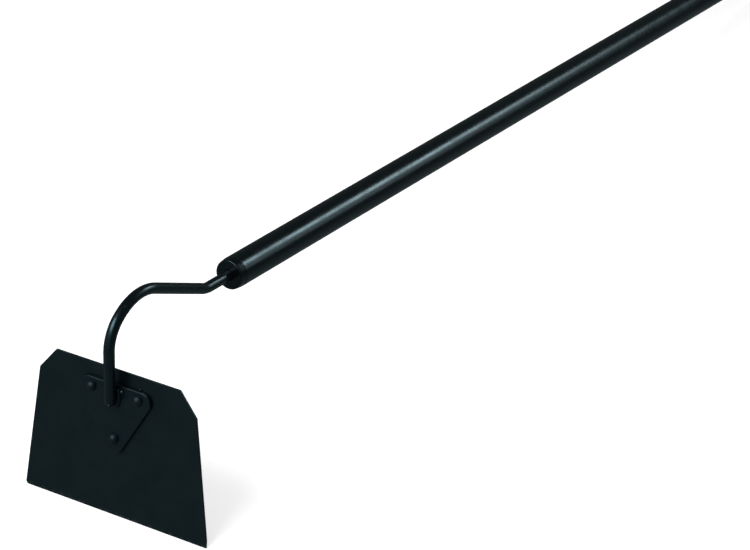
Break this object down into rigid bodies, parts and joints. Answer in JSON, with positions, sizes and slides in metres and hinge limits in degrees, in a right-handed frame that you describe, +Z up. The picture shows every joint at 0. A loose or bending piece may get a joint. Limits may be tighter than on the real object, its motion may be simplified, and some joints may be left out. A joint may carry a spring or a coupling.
{
  "type": "draw hoe",
  "caption": "Long-handled draw hoe: flat trapezoid blade riveted to a plate, welded to a swan-neck rod that runs into a straight tubular handle.",
  "frame": {"origin": "on the floor under the middle of the hoe's box, with the hoe lying on its cutting edge and on the handle's far end", "axes": "+Z up from the floor; +Y along the handle's length, from the blade to the far end; +X across the blade"},
  "size_m": [0.2, 1.521, 0.2036],
  "materials": {
    "gloss_paint": "gloss black enamel over steel, slightly uneven",
    "tube_paint": "satin black powder coat on the handle tube",
    "plug_plastic": "matte moulded black plastic",
    "cap_plastic": "matte moulded black plastic",
    "bush_steel": "turned steel"
  },
  "bodies": {
    "root": {"blade": "gloss_paint", "bracket_plate": "gloss_paint", "rivet_left": "gloss_paint", "rivet_right": "gloss_paint", "rivet_foot": "gloss_paint", "neck_rod": "gloss_paint", "weld_left": "gloss_paint", "weld_right": "gloss_paint", "weld_toe": "gloss_paint", "front_plug": "plug_plastic", "tang_bush": "bush_steel", "handle_tube": "tube_paint", "end_cap": "cap_plastic"}
  },
  "joints": []
}
